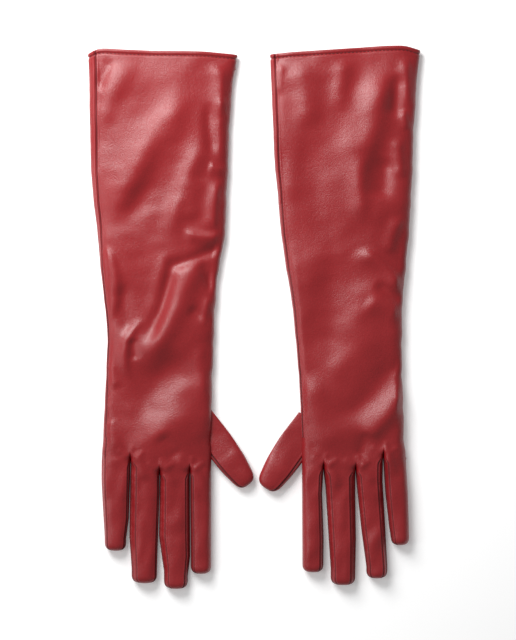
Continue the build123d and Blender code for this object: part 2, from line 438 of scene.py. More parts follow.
def waves(x, y, seed, shortest, longest, count, height):
    """A sum of sine waves with seeded directions, lengths and starts, bent by a slower wave.

    Each wave is (length / longest) * sin(2 pi distance / length + start), and the sum is divided by
    the square root of their count, so that height stays its usual size.
    """
    rng = np.random.default_rng(seed)
    bend = 6 * np.sin(x / 23 + seed) + 5 * np.sin(y / 31 + 2 * seed)
    total = np.zeros(np.broadcast(x, y).shape)
    for _ in range(count):
        angle = rng.normal(WAVE_ANGLE, WAVE_SPREAD)
        length = rng.uniform(shortest, longest)
        start = rng.uniform(0, 2 * math.pi)
        push = (x + 0.4 * bend) * math.cos(angle) + (y + bend) * math.sin(angle)
        total = total + (length / longest) * np.sin(2 * math.pi * push / length + start)
    return height * total / math.sqrt(count)


print("a fold is", float(fold(0.0, 5.0, (0, 0), (0, 10), 3.0, 2.0)), "mm high at its middle")

# %% [markdown]
# ## The folds of each glove
#
# The list is the glove's portrait. Long slanting ridges run down from the cuff, tighter ones cross
# the wrist, where the hand was pushed in and pulled out, and short puckers fan out from each
# crotch, where the fourchettes pull on the back. A height below zero is a hollow.

# %% Fold by fold: start, end, width, height, bow, and how much wider its right side is
FOLDS = {
    "right": [
        ((-54, 184), (-116, 80), 11, 3.4, -4, 1.3), ((-38, 144), (-68, 62), 8, 2.2, 3, 1.0),
        ((-66, 160), (-104, 70), 9, -1.6, -2, 1.0), ((-96, 204), (-124, 150), 9, 1.5, 3, 1.0),
        ((-112, 206), (-124, 180), 4, -1.2, 1, 1.5), ((-30, 206), (-26, 160), 7, 1.8, -3, 1.0),
        ((-23, 178), (-21, 122), 2.6, 1.5, 1.2, 2.6), ((-36, 172), (-33, 128), 5, -1.4, 1, 1.0),
        ((-36, 122), (-20, 117), 3.0, 1.3, 1.5, 1.8), ((-27, 110), (-32, 68), 3.6, 1.6, 2.0, 1.8),
        ((-44, 112), (-52, 76), 7, 1.2, 1, 1.0), ((-56, 68), (-25, 65), 3.6, 1.6, 2, 1.6),
        ((-24, 59), (-70, 40), 5, -2.2, -2, 1.0),
        ((-66, 48), (-87, -24), 6, -2.5, -3, 1.0), ((-70, 52), (-82, -2), 4.5, 1.5, -2, 1.3),
        ((-42, 52), (-90, -42), 10, 3.2, -2, 1.1), ((-42, 46), (-31, 20), 5, -1.7, 0, 1.0),
        ((-52, 8), (-31, -6), 5, -1.3, 0, 1.0), ((-34, 18), (-40, -8), 4, 1.0, 1, 1.0),
        ((-119, 58), (-113, 0), 4.5, 1.8, -6, 1.6), ((-105, 28), (-98, -16), 7, -1.5, 2, 1.0),
        ((-89, -1), (-99, -48), 3.8, 1.7, 8, 1.3), ((-97, -16), (-94, -34), 4, -1.2, 0, 1.0),
        ((-117, -34), (-108, -56), 4, 1.2, 1, 1.2), ((-50, -34), (-98, -74), 14, -2.6, 2, 1.0),
        ((-100, -112), (-42, -74), 12, 2.5, -3, 1.5), ((-118, -60), (-106, -108), 6, 1.4, 3, 1.0),
        ((-42, -20), (-38, -66), 6, 1.0, 2, 1.0), ((-114, -84), (-120, -72), 4, -0.9, 1, 1.0),
        ((-93, -106), (-84, -130), 3.4, 1.1, 1, 1.2), ((-72, -112), (-62, -134), 3.4, 1.1, 1, 1.2),
        ((-49, -116), (-38, -138), 3.2, 1.2, -1, 1.2), ((-74, -92), (-60, -112), 6, -1.3, 0, 1.0),
    ],
    "left": [
        ((21, 208), (16, 178), 5, 1.6, 1, 1.5), ((36, 208), (44, 150), 10, 1.8, 0, 1.0),
        ((73, 208), (68, 164), 7, 1.6, 1, 1.0), ((101, 196), (86, 120), 9, 2.4, -3, 1.3),
        ((120, 208), (125, 166), 6, 1.8, 0, 1.0), ((115, 194), (112, 158), 6, -1.8, 1, 1.0),
        ((115, 144), (117, 110), 5, 1.6, 1, 1.3), ((87, 130), (86, 76), 7, 2.3, 3, 1.2),
        ((105, 128), (99, 94), 8, -2.0, -2, 1.0),
        ((40, 146), (62, 54), 15, -2.2, 3, 1.0), ((72, 158), (104, 60), 12, 1.8, 4, 1.0),
        ((116, 80), (106, 50), 5, 1.6, 1, 1.3), ((119, 166), (124, 150), 3, 1.1, 1, 1.5),
        ((82, 54), (118, 19), 5, 2.3, -5, 1.5), ((96, 27), (120, 11), 4.5, -1.6, -1, 1.0),
        ((88, 13), (116, 0), 6, 1.5, -2, 1.4),
        ((30, 60), (38, -50), 7, 1.2, 2, 1.0), ((62, 50), (58, -36), 13, -1.6, 0, 1.0),
        ((100, 34), (72, -20), 12, 1.6, -2, 1.0), ((121, -56), (86, -98), 7, 2.8, -2, 1.3),
        ((114, -34), (66, -84), 10, -2.2, -3, 1.0), ((104, -8), (56, -52), 11, 1.7, 2, 1.0),
        ((44, -44), (64, -110), 12, 1.7, 3, 1.0),
        ((112, -40), (119, -70), 4, 1.2, 1, 1.0), ((38, -80), (50, -108), 6, -1.0, 0, 1.0),
        ((57, -112), (70, -136), 3.4, 1.1, 1, 1.2), ((84, -112), (96, -132), 3.4, 1.1, 1, 1.2),
        ((104, -100), (114, -126), 3.4, 1.1, 1, 1.2), ((90, -90), (84, -112), 5, -1.1, 0, 1.0),
    ],
}
PUCKERS = ((-2, 2, -10, 10), (1, 3, 2, 14), (3, 2, 12, 9))  # from a crotch, each fold's two ends
SEEDS = {"right": 4, "left": 11}
PUCKER_WIDTH, PUCKER_HEIGHT = 2.2, 0.5
FOLD_STRENGTH = 1.25  # every height in the list is multiplied by this


def relief(side, x, y):
    """All folds and waves of one glove's back: long waves, short faint ones, folds and puckers."""
    long_waves = waves(x, y, SEEDS[side], 30, 90, 14, 1.05)
    short_waves = waves(x, y, SEEDS[side] + 1, 13, 30, 12, 0.17)
    total = long_waves + short_waves
    for start, end, width, height, bow, lean in FOLDS[side]:
        total = total + FOLD_STRENGTH * fold(x, y, start, end, width, height, bow, lean)
    for crotch_x, crotch_y in GLOVES[side]["crotches"]:
        for near_x, near_y, far_x, far_y in PUCKERS:
            near, far = (crotch_x + near_x, crotch_y + near_y), (crotch_x + far_x, crotch_y + far_y)
            total = total + fold(x, y, near, far, PUCKER_WIDTH, PUCKER_HEIGHT)
    return total


print("folds", {side: len(folds) for side, folds in FOLDS.items()})

# %% [markdown]
# ## The section of a glove
#
# Cut across, the slack tube is a flat oval: level below, where it lies on the table, gently crowned
# above, with rounded sides. That is a superellipse. A little above each crotch the section starts
# to change from one wide oval to four narrow ones, and at the crotch it has done so.

# %% Heights of the sections, in millimetres
SIDE_HEIGHT = 4.6  # height of the sides, where top and underside meet
FLOOR_GAP = 0.25  # the underside lies this far above the table
ARM_TOP = [(216, 10.2), (190, 11.4), (120, 12.2), (30, 11.8), (-28, 11.4), (-70, 12.4), (-112, 12.0)]
ARM_CROWN = 1.2  # how much higher the back is along its middle than at its sides
ARM_POWER = 9  # the sleeve's section is nearly a box with round corners
ARM_SIDE = 0.88  # where a section starts to turn, as a share of its half width


def oval(c, power):
    """Height of a superellipse over c from -1 to 1: the square root of 1 - |c|^power."""
    return np.sqrt(np.clip(1 - np.abs(c) ** power, 0, 1))


def arm_edges(glove, y):
    """Left and right edge of the sleeve, hand and outer fingers at y."""
    ripple = np.sin(y * 0.19 + 1) * np.sin(y * 0.061 + 1) + 0.6 * np.sin(y * 0.37) * np.sin(y * 0.11)
    ripple = 0.36 * ripple * smooth((205 - y) / 30) * smooth((y + 130) / 20)
    return line(glove["left_edge"], y, 5.0) + 0.35 * ripple, line(glove["right_edge"], y, 4.0) - ripple


def arm_top(side, c, x, y):
    """Height of the back of the sleeve and hand."""
    height = line(ARM_TOP, y, 10.0) + ARM_CROWN * (1 - c**2)
    slack = smooth((1 - np.abs(c)) / 0.16)
    return SIDE_HEIGHT + (height - SIDE_HEIGHT) * oval(c, ARM_POWER) + relief(side, x, y) * slack


def arm_floor(c):
    """Height of the underside, which lies flat and turns up at the sides."""
    return FLOOR_GAP + (SIDE_HEIGHT - FLOOR_GAP) * (1 - oval(c, ARM_POWER))


cuff_left, cuff_right = arm_edges(GLOVES["right"], 214.0)
print("the right cuff is", round(cuff_right - cuff_left, 1), "mm wide")

# %% [markdown]
# ## Columns, grooves and panels
#
# Each row of the grid is one closed section: over the back from left to right, then home along the
# underside. Its columns have to fall exactly on the seams, because the panels are cut there, and
# they have to crowd where the section turns. A seam is a groove with raised lips, and the thread
# pulls it into small puckers. Pressing it into the loop before the cut keeps both sides level.


# %% Columns of a section
def columns(left, right, count, ends=9):
    """Places from -1 to 1 across each row: a few up to the left seam, count to the right, a few more.

    They crowd as t^2 towards both sides, where the section turns, and by a part of a cosine towards
    the seams. Also returns the column numbers of the two seams.
    """
    t = np.linspace(0, 1, ends)
    near_left = -1 + (left[:, None] + 1) * t**2
    u = np.linspace(0, 1, count)
    eased = 0.6 * u + 0.4 * (1 - np.cos(math.pi * u)) / 2
    between = left[:, None] + (right - left)[:, None] * eased
    near_right = (1 - (1 - right[:, None]) * t**2)[:, ::-1]
    across = np.concatenate([near_left, between[:, 1:-1], near_right], axis=1)
    return across, ends - 1, ends + count - 2


def loop_normals(loop):
    """Outward unit normals of each row's closed section, in the plane across the glove."""
    ahead = np.roll(loop, -1, axis=1) - np.roll(loop, 1, axis=1)
    normal = np.stack([-ahead[..., 2], np.zeros(loop.shape[:2]), ahead[..., 0]], -1)
    size = np.linalg.norm(normal, axis=2, keepdims=True)
    return normal / np.maximum(size, 1e-6)


print("sixteen columns:", columns(np.array([-0.5]), np.array([0.5]), 4, 7)[0].round(2))


# %% Sewing a seam into the sections
STITCH_PITCH = 2.8
LIP_PLACE, LIP_WIDTH = 1.25, 0.75


def bell(distance, width):
    """A bell curve, exp(-(distance / width)^2)."""
    return np.exp(-((distance / width) ** 2))


def sew(loop, seams, depth, lip, pucker=0.07):
    """Press a groove with raised lips into the loop at each seam; also returns how rubbed each point is,
    with painted shade in the groove.

    Distance is measured round the section. The groove is a bell curve 0.5 mm wide, each lip another
    one beside it, and small puckers follow the stitches along the seam.
    """
    step = np.linalg.norm(loop - np.roll(loop, 1, axis=1), axis=2)
    round_it = np.cumsum(step, axis=1)
    whole = round_it[:, -1:]
    shift = np.zeros(loop.shape[:2])
    rub = np.zeros(loop.shape[:2])
    stitch = 0.35 * np.sin(loop[..., 1] * 2 * math.pi / STITCH_PITCH)
    for index in seams:
        away = np.abs(round_it - round_it[:, index:index + 1])
        away = np.minimum(away, whole - away)
        beside = bell(away - LIP_PLACE, LIP_WIDTH)
        shift += -depth * bell(away, 0.5) + lip * beside
        shift += pucker * stitch * bell(away, 2.2)
        # the lips are rubbed brighter, which is wear; the groove is darkened, which is painted shade
        rub += beside * 0.6 - 2.0 * bell(away, 0.8)
    return loop + loop_normals(loop) * shift[..., None], np.clip(rub, -1, 1)


print("stitches in a seam are", STITCH_PITCH, "mm apart")


# %% Closed sections, and the panels cut from them
LEATHER_WALL = 0.8


def section_loop(y, left, right, top_seams, floor_seams, count, top, floor):
    """Closed sections for every row: the top from left to right, then the underside back.

    Returns the loop and the column numbers of its four seams: top left, top right, floor right,
    floor left.
    """
    rows = y[:, None]
    middle, half = ((left + right) / 2)[:, None], ((right - left) / 2)[:, None]
    over, top_left, top_right = columns(*top_seams, count)
    under, floor_left, floor_right = columns(*floor_seams, max(count // 2, 12))
    sheets = []
    for across, height in ((over, top), (under, floor)):
        x = middle + half * across
        sheets.append(np.stack([x, np.broadcast_to(rows, x.shape), height(across, x, rows)], -1))
    upper, lower = sheets
    loop = np.concatenate([upper, lower[:, -2:0:-1]], axis=1)
    return loop, (top_left, top_right, loop.shape[1] - floor_right, loop.shape[1] - floor_left)


def cut(loop, first, last):
    """The columns of a loop from first to last, going round past its end if need be."""
    if last <= first:
        last += loop.shape[1]
    return np.take(loop, np.arange(first, last + 1), axis=1, mode="wrap")


def inset(loop, gap):
    """The loop drawn in: each row shrinks towards the middle of its own box, by gap at its sides."""
    low, high = loop.min(axis=1, keepdims=True), loop.max(axis=1, keepdims=True)
    middle, half = (low + high) / 2, (high - low) / 2
    shrink = np.maximum(half - gap, 0.05) / np.maximum(half, 0.05)
    shrink[..., 1] = 1.0
    return middle + (loop - middle) * shrink


def panel(name, loop, rub, first, last, replaced):
    """One cut piece of leather between two seams of a loop."""
    wear_and_shade_marks = cut(rub[..., None], first, last)
    piece = make_piece(name, cut(loop, first, last), LEATHER, thickness=LEATHER_WALL, rub=wear_and_shade_marks)
    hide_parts(*replaced)
    return piece


print("leather wall", LEATHER_WALL, "mm")

# %% [markdown]
# ## Sleeve and hand
#
# One back panel and one palm panel run from the cuff to the knuckles. The side seam between them
# has rolled up on to the back at the left. Both run across the wrist's hinge.

# %% The arm's sections
ARM_STEP = 1.15  # millimetres between rows
ARM_COLUMNS = 92
STITCH_LINE = 3.2  # the hem's stitches lie this far below the edge
CUFF_REACH = 45.0  # the cuff's slant dies away over this length
HEM_ROWS = (0, 0.4, 0.8, 1.4, 2.0, 2.5, 2.9, 3.2, 3.5, 3.9, 4.5, 5.3, 6.3, 7.5)


def hem_relief(below):
    """The hem is rolled along its edge, and its stitch line is pressed in."""
    return 0.2 * bell(below - 1.2, 1.2) - 0.75 * bell(below - STITCH_LINE, 0.75)


def arm_loop(side, glove, cuff):
    """Sections of the sleeve and hand from the cuff down to the knuckles."""
    plain_rows = np.linspace(cuff - 8.6, KNUCKLE, int((cuff - KNUCKLE) / ARM_STEP))
    y = np.concatenate([cuff - np.array(HEM_ROWS), plain_rows])
    left, right = arm_edges(glove, y)
    seam = -1 + 2 * line(glove["seam"], y, 6.0) / (right - left)
    side_line = np.full(y.shape, ARM_SIDE)
    loop, seams = section_loop(y, left, right, (seam, side_line), (-side_line, side_line), ARM_COLUMNS,
                               lambda c, x, rows: arm_top(side, c, x, rows),
                               lambda c, x, rows: arm_floor(c))
    loop, rub = sew(loop, [seams[0]], depth=0.8, lip=0.55)
    below = (cuff - y)[:, None]
    loop = loop + loop_normals(loop) * hem_relief(below)[..., None]
    lift = line(glove["cuff"], loop[..., 0], 3.0) - cuff
    loop[..., 1] += lift * smooth((loop[..., 1] - cuff + CUFF_REACH) / CUFF_REACH)
    return loop, rub, seams


print("rows down an arm:", len(HEM_ROWS), "fine ones at the hem, then one every", ARM_STEP, "mm")


# %% Spans at a hinge, and pieces baked in place
WRIST_REACH, KNUCKLE_REACH = 22.0, 8.0


def in_metres(x, y, z):
    """A place in millimetres as the frame wants it."""
    return (x * MM, y * MM, z * MM)


def blend_wrist(piece, side):
    """Bake a piece's placing into its mesh; the ends of the wrist's stretch are worked out and not used."""
    x, y, z = joint_place(f"{side}_wrist_bend")
    in_metres(x, y + WRIST_REACH, z)
    in_metres(x, y - WRIST_REACH, z)
    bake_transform(piece)


def blend_knuckle(piece, side, name):
    """Bake a piece's placing into its mesh; the ends of the knuckle's stretch are worked out and not used.
    """
    x, y, z = joint_place(f"{side}_{name}_curl")
    in_metres(x, y + KNUCKLE_REACH, z)
    in_metres(x, y - KNUCKLE_REACH, z)
    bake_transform(piece)


print("a wrist bends over", 2 * WRIST_REACH, "mm, a knuckle over", 2 * KNUCKLE_REACH, "mm")

# %% [markdown]
# ## The hem
#
# The cuff's edge is turned in and stitched down. The turned part is its own sheet, because it has
# its own node: a half circle over the edge, then a band inside. Each stitch is a small bead of
# thread. It has few faces, because there are over seventy of them on each glove.


# %% Turned edge and stitches
TURN_RADIUS = 0.75
HEM_DEPTH = 11.5
HEM_RUB = 0.25  # the turned edge is a little worn all round
BEAD_ALONG = np.array([-0.5, -0.36, 0.0, 0.36, 0.5])  # places along a stitch, as shares of its length
BEAD_FAT = np.array([0.15, 0.8, 1.0, 0.8, 0.15])  # its thickness there
BEAD_SIDES = 6


def fold_over(edge, outward, turned):
    """The turned-in cuff: a half circle carries the edge over and in, then it runs down inside.

    At angle a the edge moves up by r sin a and inwards by r (1 - cos a), for a from 0 to pi.
    """
    up = np.array([0.0, 1.0, 0.0])
    over = [edge + up * TURN_RADIUS * math.sin(angle) - outward * TURN_RADIUS * (1 - math.cos(angle))
            for angle in np.linspace(0, math.pi, 9)]
    down = [edge - up * depth - outward * 2 * TURN_RADIUS for depth in turned]
    return np.stack(over + down)


def stitches(name, path, normal, pitch=3.1, length=2.3, thick=0.34):
    """Stitches along a path: each is a short six-sided bead, thick in the middle, lying on the leather.

    A bead's point is spine + thick * fat * (cos a * up + sin a * side), and both ends dive into the
    leather by 0.32 mm times what they lack in thickness.
    """
    step = np.linalg.norm(np.diff(path, axis=0), axis=1)
    reach = np.concatenate([[0], np.cumsum(step)])
    centres = np.arange(pitch, reach[-1] - pitch, pitch)
    ring = np.linspace(0, 2 * math.pi, BEAD_SIDES, endpoint=False)[:, None]
    at = centres[:, None] + BEAD_ALONG * length
    spine = np.stack([np.interp(at, reach, path[:, k]) for k in range(3)], -1)
    up = np.stack([np.interp(at, reach, normal[:, k]) for k in range(3)], -1)
    dive = 0.32 * (1 - BEAD_FAT)[:, None]
    around = np.cos(ring) * up[:, :, None] + np.sin(ring) * np.array([0.0, 1.0, 0.0])
    body = (spine + up * (0.12 - dive))[:, :, None] + thick * BEAD_FAT[:, None, None] * around
    faces = grid_faces(len(BEAD_ALONG), BEAD_SIDES, wrap=True).reshape(-1, 4)
    caps = np.array([[0, 1, 2, 3], [0, 3, 4, 5], [27, 26, 25, 24], [29, 28, 27, 24]])  # two quads an end
    first_point = len(BEAD_ALONG) * BEAD_SIDES * np.arange(len(centres))
    every = (np.concatenate([faces, caps]) + first_point[:, None, None]).reshape(-1, 4)
    mesh = bpy.data.meshes.new(name)
    mesh.from_pydata((body.reshape(-1, 3) * MM).tolist(), [], every.tolist())
    mesh.shade_smooth()
    mesh.materials.append(THREAD)
    piece = bpy.data.objects.new(name, mesh)
    bpy.context.scene.collection.objects.link(piece)
    return piece


print("faces in one stitch:", len(grid_faces(len(BEAD_ALONG), BEAD_SIDES, True)) * BEAD_SIDES + 4)

# %% [markdown]
# ## Putting an arm together
#
# The two panels come first, then what is sewn to them. The lining is the same tube drawn in by two
# millimetres, with a quarter of the rows, because only its first rows can be seen. The seam
# allowance is the strip of leather left over inside the side seam.


# %% Build the arm of each glove
LINING_GAP, LINING_WALL = 1.9, 0.35
ALLOWANCE_GAP, ALLOWANCE_WALL = 1.0, 0.6


def nearest_row(loop, y):
    """The number of the row that is nearest to y."""
    return int(np.argmin(np.abs(loop[:, 0, 1] - y)))


def build_panels(side, loop, rub, seam):
    """Back and palm panel, cut at the side seam and at the right-hand side line."""
    side_line = np.argmax(loop[0, :, 0])
    back = panel(f"{side}_back_panel", loop[1:], rub[1:], seam, side_line,
                 [f"{side}_sleeve_back", f"{side}_hand_back"])
    palm = panel(f"{side}_palm_panel", loop[1:], rub[1:], side_line, seam + loop.shape[1],
                 [f"{side}_sleeve_palm", f"{side}_hand_palm"])
    blend_wrist(back, side)
    blend_wrist(palm, side)


def build_hem(side, loop, outward):
    """The turned edge and its stitches."""
    rows = fold_over(loop[1], outward[1], np.linspace(0.6, HEM_DEPTH, 9))
    wear_and_shade_marks = np.full(rows.shape[:2], HEM_RUB)
    hem = make_piece(f"{side}_turned_hem", rows[:, ::-1], LEATHER, wrap=True, rub=wear_and_shade_marks)
    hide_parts(f"{side}_cuff_hem")
    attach(hem, f"{side}_sleeve")
    row = nearest_row(loop, loop[0, 0, 1] - STITCH_LINE)
    thread = stitches(f"{side}_hem_stitches", loop[row], outward[row])
    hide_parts(f"{side}_cuff_stitches")
    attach(thread, f"{side}_sleeve")


def build_insides(side, loop, outward, seam):
    """The knitted lining, and the seam allowance, which ends above the wrist's bend."""
    inner = (loop - outward * LINING_GAP)[8::4, ::3]
    lining = make_piece(f"{side}_arm_lining", inner, KNIT, wrap=True, thickness=LINING_WALL)
    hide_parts(f"{side}_sleeve_lining", f"{side}_hand_lining")
    blend_wrist(lining, side)
    low = nearest_row(loop, joint_place(f"{side}_wrist_bend")[1] + WRIST_REACH + 2)
    under = cut(loop - outward * ALLOWANCE_GAP, seam - 1, seam + 3)[16:low:2]
    allowance = make_piece(f"{side}_seam_allowance", under, LEATHER, thickness=ALLOWANCE_WALL)
    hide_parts(f"{side}_side_seam_allowance")
    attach(allowance, f"{side}_sleeve")


for side, glove in GLOVES.items():
    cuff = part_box(f"{side}_sleeve_back")[1][1] / MM
    loop, rub, seams = arm_loop(side, glove, cuff)
    outward = loop_normals(loop)
    build_panels(side, loop, rub, seams[0])
    build_hem(side, loop, outward)
    build_insides(side, loop, outward, seams[0])
    print(side, "arm: rows", loop.shape[0], "columns", loop.shape[1], "seams", seams)

# %% [markdown]
# ## Fingers
#
# A finger is a back strip, a palm strip and one or two fourchettes, the narrow strips that run
# between two fingers and give them their depth. Every finger starts as the part of the hand that
# lies in line with it, and becomes a tube of its own at the crotch. How far it has done so is its
# share, which grows from 0 to 1 over the last centimetre above the crotch.

# %% A finger's edges, share and tip
LAST_FINGER = 3  # fingers are counted from 0, from left to right
CROTCH_RISE = 10.0  # the valley between two fingers starts this far above their crotch
CROTCH_LEAN = 0.018  # sideways drift of a shared edge, for each millimetre down to the crotch
TIP_ROWS = 15


def finger_edges(glove, name, y):
    """Left and right edge of a finger at y, shared with its neighbours above the crotches."""
    place, shape = glove["order"].index(name), glove["fingers"][name]
    outer_left, outer_right = arm_edges(glove, y)
    edges = []
    for own, outer, number, gap in ((shape["left"], outer_left, place - 1, 0.1),
                                    (shape["right"], outer_right, place, -0.1)):
        if own is None:
            edges.append(outer)
            continue
        crotch_x, crotch_y = glove["crotches"][number]
        start_x = crotch_x + CROTCH_LEAN * (KNUCKLE - crotch_y)
        shared = [(KNUCKLE, start_x), (crotch_y, crotch_x), (crotch_y - 3, crotch_x + gap)]
        edges.append(line(shared + own, y))
    return edges


def crotch_levels(glove, place):
    """Height in y of the crotch on each side of a finger; an outer finger has the same one twice."""
    numbers = (max(place - 1, 0), min(place, LAST_FINGER - 1))
    return [glove["crotches"][number][1] for number in numbers]


def finger_share(glove, name, y, c):
    """How far each point has turned from the hand's wide section to the finger's own, from 0 to 1.

    Each side grows towards its own crotch; the share across the finger is a mix of the two.
    """
    levels = crotch_levels(glove, glove["order"].index(name))
    grown = [smooth((level + CROTCH_RISE - y) / CROTCH_RISE) ** 2 for level in levels]
    across = (c + 1) / 2
    return grown[0] * (1 - across) + grown[1] * across


def closing(y, tip, reach, power=2.9):
    """Share of the full size that is left near the tip: (1 - (1 - q)^p)^(1/p), with q from 0 to 1."""
    q = np.clip((y - tip) / reach, 0, 1)
    return (1 - (1 - q) ** power) ** (1 / power)


def rows_to_tip(length, reach, step):
    """Distances from a root at 0 to a tip at length, crowding over the last reach, where it closes."""
    straight = np.arange(0, length - reach, step)
    round_off = length - reach * (1 - np.sin(np.linspace(0, math.pi / 2, TIP_ROWS)))
    return np.concatenate([straight[straight < length - reach - 0.3], round_off])


def seam_fade(close):
    """How deep a seam is where a tip closes, from 1 on the finger to 0 at the tip."""
    return smooth((close - 0.35) / 0.5)


print("near a tip a finger keeps", closing(np.array([0.5, 2.0, 5.0]), 0.0, 7.5).round(2), "of its size")

# %% [markdown]
# ## Heights over a finger
#
# The back mixes two heights by the share: the hand's, folds and all, and the finger's own crown.
# Beyond its seams a finger sags, because only the thin fourchette is there. The underside does the
# same in a simpler way. A seam leaves the crotch and settles at its own place just below it.

# %% Finger heights and seams
FINGER_TOP = 11.6
CROWN_EASE = 6.5  # how much rounder than the hand's a finger's section becomes
SAG = 2.4  # millimetres, both how deep a fourchette hangs and over what width
FLOOR_POWER = 3.2
SEAM_MARGIN = 0.09  # no seam comes nearer to the side than this share of the half width
OWN_CROWN = [(KNUCKLE - 50, 1.0), (KNUCKLE - 18, 0.0)]  # where the finger's own crown takes over


def seam_columns(glove, shares, place, y):
    """Where a finger's left and right seam run, from -1 to 1 across it."""
    found = []
    for share, number, sign in zip(shares, (place - 1, place), (-1, 1)):
        settled = np.ones(y.shape)
        if 0 <= number < len(glove["crotches"]):
            settled = np.sqrt(np.clip((glove["crotches"][number][1] - y) / 5, 0, 1))
        found.append(sign * (1 - np.maximum((1 - abs(2 * share - 1)) * settled, SEAM_MARGIN)))
    return found


def finger_crown(c, x, rows, hand, place):
    """Height of a finger's own back without its sag, and the small dimples on it."""
    dimple = waves(x * 1.6, rows, 7 + place, 11, 34, 9, 0.45) * (1 - np.abs(c) ** 4)
    own = line(OWN_CROWN, rows)
    peak = hand * (1 - own) + FINGER_TOP * own - SIDE_HEIGHT
    return peak * oval(c, ARM_POWER - CROWN_EASE * own), dimple


def fourchette_sag(c, rows, tops, half, place):
    """How far the back hangs beyond its seams, a little unevenly along the finger."""
    beyond = np.maximum(tops[0][:, None] - c, c - tops[1][:, None]) * half[:, None]
    uneven = 0.4 * np.sin(rows * 0.6 + place) * np.sin(rows * 0.23 + 2 * place)
    return smooth(beyond / SAG) * (SAG + uneven) * oval(c, 4)


print("a finger's section goes from power", ARM_POWER, "to", ARM_POWER - CROWN_EASE)


# %% Finger sections
FINGER_STEP, FINGER_COLUMNS = 0.9, 34
FINGER_REACH = 7.5  # length of the rounded tip
SIDE_COLUMNS = 8  # columns from the right-hand seam to the side line


def finger_loop(side, glove, name, tip):
    """Sections of one finger from the knuckle to the tip."""
    shape, place = glove["fingers"][name], glove["order"].index(name)
    y = KNUCKLE - rows_to_tip(KNUCKLE - tip, FINGER_REACH, FINGER_STEP)
    left, right = finger_edges(glove, name, y)
    close = closing(y, tip, FINGER_REACH)
    middle, half = (left + right) / 2, (right - left) / 2 * close
    tops = seam_columns(glove, shape["seams"], place, y)
    floors = seam_columns(glove, shape["floor_seams"], place, y)
    arm_left, arm_right = arm_edges(glove, y)
    arm_middle, arm_half = ((arm_left + arm_right) / 2)[:, None], ((arm_right - arm_left) / 2)[:, None]

    def top(c, x, rows):
        """Mix the hand's height with the finger's crown by the finger's share."""
        share = finger_share(glove, name, rows, c)
        hand = arm_top(side, np.clip((x - arm_middle) / arm_half, -1, 1), x, rows)
        crown, dimple = finger_crown(c, x, rows, hand, place)
        crown = crown - fourchette_sag(c, rows, tops, half, place)
        crown = SIDE_HEIGHT + crown * close[:, None] + dimple * share
        return hand * (1 - share) + crown * share

    def floor(c, x, rows):
        """The underside, level along the hand and rounding up at a finger's sides and tip."""
        share = finger_share(glove, name, rows, c)
        wide = np.clip((x - arm_middle) / arm_half, -1, 1)
        own = SIDE_HEIGHT - (SIDE_HEIGHT - FLOOR_GAP) * oval(c, FLOOR_POWER) * close[:, None]
        return arm_floor(wide) * (1 - share) + own * share

    edges = (middle - half, middle + half)
    loop, seams = section_loop(y, *edges, tops, floors, FINGER_COLUMNS, top, floor)
    return loop, seams, close


def finger_seams(glove, loop, seams, close, place, grooves):
    """Sew the seams, fading them out at the tip and above the crotches, and paint shade on the deep sides
    between fingers.
    """
    sewn, rub = sew(loop, grooves, depth=0.8, lip=0.2, pucker=0.1)
    column = np.arange(loop.shape[1])
    on_right = (column > (seams[0] + seams[1]) // 2) & (column < (seams[2] + seams[3]) // 2)
    levels = crotch_levels(glove, place)
    below_left, below_right = [smooth((level - loop[:, :1, 1]) / 3) for level in levels]
    fade = seam_fade(close)[:, None] * np.where(on_right, below_right, below_left if place > 0 else 1.0)
    sewn = loop + (sewn - loop) * fade[..., None]
    # painted shade: the sides that face a neighbouring finger are darkened below the crotch
    across = sewn[..., 0]
    left_line, right_line = across[:, :1], across[:, [seams[1] + SIDE_COLUMNS]]
    away = np.minimum(np.abs(across - left_line), np.abs(across - right_line))
    between = np.where(on_right, below_right * (place < LAST_FINGER), below_left * (place > 0))
    return sewn, np.clip(rub * fade - 0.75 * bell(away, 1.3) * between, -1, 1)


print("a finger has a row every", FINGER_STEP, "mm")

# %% [markdown]
# ## Putting a finger together
#
# An outer finger has a fourchette on its inner side only. On its other side, back and palm strip
# meet in the glove's own side seam, which shows on the right glove's little finger and is a plain
# turn of the leather elsewhere.


# %% Build the fingers
FINGER_LINING_GAP = 1.6


def finger_panels(side, name, place, seams, around):
    """The names of a finger's strips, with the columns where each begins and ends, and its node."""
    stem = f"{side}_{name}"
    side_line = int(seams[1] + SIDE_COLUMNS)
    outer = seams[0] if place > 0 or side == "right" else 0
    back_last, palm_first = (seams[1], seams[2]) if place < LAST_FINGER else (side_line, side_line)
    yield f"{stem}_back_strip", outer, back_last, f"{stem}_back"
    yield f"{stem}_palm_strip", palm_first, seams[3] if place > 0 else outer + around, f"{stem}_palm"
    on_right, on_left = (seams[1], seams[2]), (seams[3], seams[0] + around)
    fourchettes = [on_right] * (place < LAST_FINGER) + [on_left] * (place > 0)
    for number, (first, last) in enumerate(fourchettes):
        yield f"{stem}_fourchette_{number + 1}", first, last, f"{stem}_fourchettes"


def build_finger(side, glove, name):
    """All pieces of one finger, and its lining."""
    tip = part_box(f"{side}_{name}_back")[0][1] / MM
    place = glove["order"].index(name)
    plain, seams, close = finger_loop(side, glove, name, tip)
    shown = (place > 0 or side == "right", place < LAST_FINGER, place < LAST_FINGER, place > 0)
    grooves = [seam for seam, here in zip(seams, shown) if here]
    loop, rub = finger_seams(glove, plain, seams, close, place, grooves)
    made = [panel(piece, loop, rub, first, last, [node])
            for piece, first, last, node in finger_panels(side, name, place, seams, loop.shape[1])]
    inner = inset(plain, FINGER_LINING_GAP)[2:-6:3, ::2]
    lining = make_piece(f"{side}_{name}_finger_lining", inner, KNIT, wrap=True)
    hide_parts(f"{side}_{name}_lining")
    for piece in made + [lining]:
        blend_knuckle(piece, side, name)
    print(side, name, "rows", loop.shape[0], "columns", loop.shape[1], "tip", round(tip, 1))


